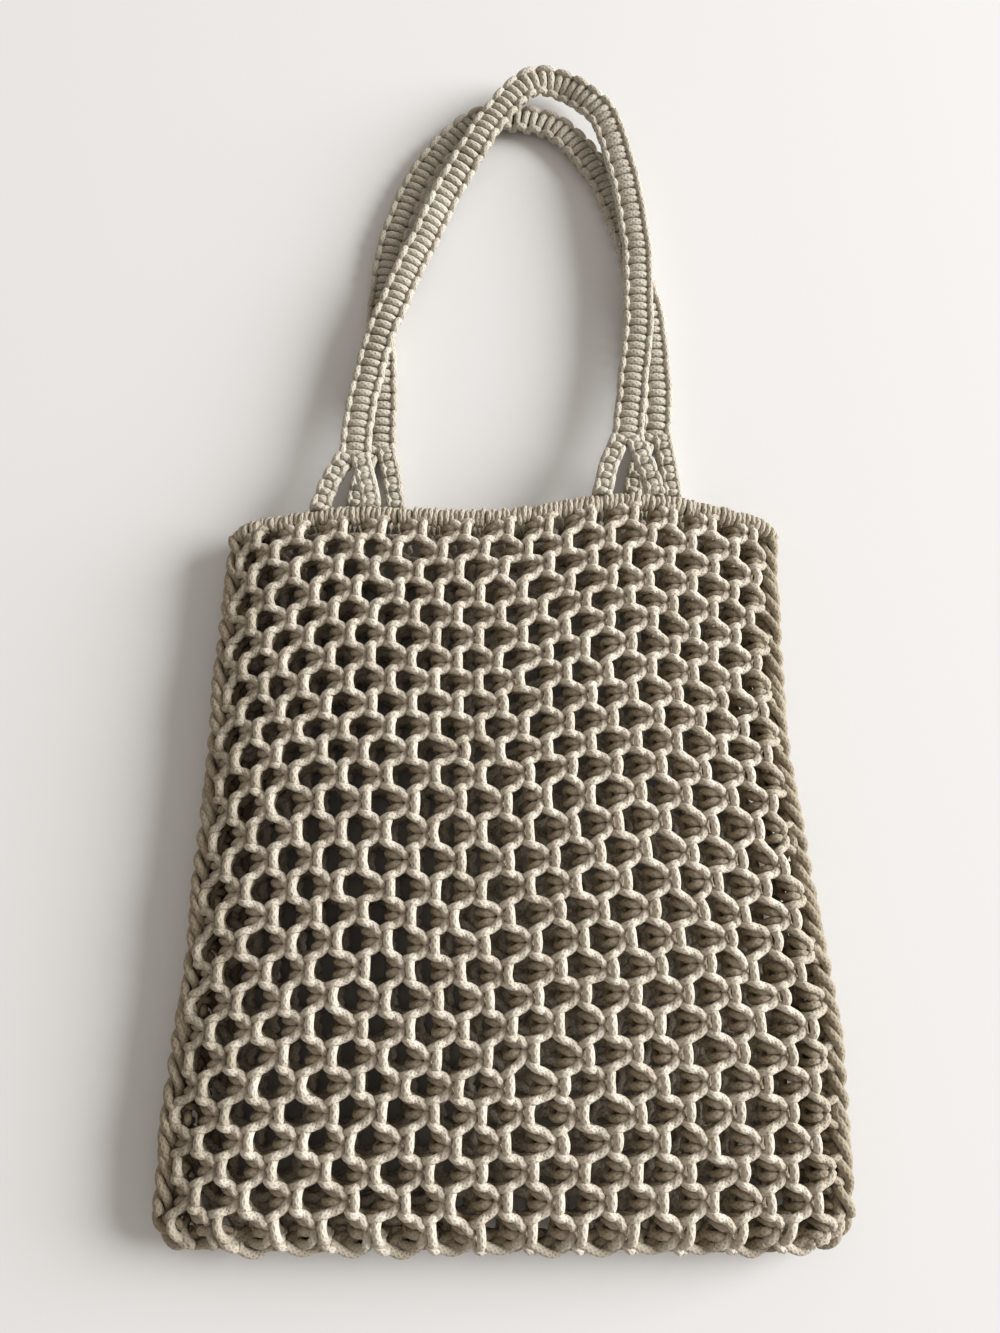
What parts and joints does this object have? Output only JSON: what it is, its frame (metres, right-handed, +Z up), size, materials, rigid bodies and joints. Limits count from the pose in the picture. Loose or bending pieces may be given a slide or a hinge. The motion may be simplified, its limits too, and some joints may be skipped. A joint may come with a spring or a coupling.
{
  "type": "macrame shoulder bag",
  "caption": "Open-topped knotted cord bag with two looped hand straps on split legs, a wrapped rim and laced sides, lying flat on its back panel.",
  "frame": {"origin": "on the surface the bag lies on, below the middle of its whole box, straps included", "axes": "+X to the bag's right as seen from above, +Y from its base to its straps, +Z up through its front panel"},
  "size_m": [0.3752, 0.7506, 0.0443],
  "materials": {
    "net_cord": "matt braided cotton cord",
    "edge_cord": "matt braided cotton cord",
    "rim_cord": "matt braided cotton cord",
    "strap_cord": "matt braided cotton cord"
  },
  "bodies": {
    "root": {"front_net": "net_cord", "back_net": "net_cord", "left_side_lacing": "edge_cord", "right_side_lacing": "edge_cord", "base_hem": "edge_cord", "front_rim_band": "rim_cord", "back_rim_band": "rim_cord", "front_strap": "strap_cord", "back_strap": "strap_cord", "front_left_leg_1": "strap_cord", "front_left_leg_2": "strap_cord", "front_right_leg_1": "strap_cord", "front_right_leg_2": "strap_cord", "back_left_leg_1": "strap_cord", "back_left_leg_2": "strap_cord", "back_right_leg_1": "strap_cord", "back_right_leg_2": "strap_cord"}
  },
  "joints": []
}
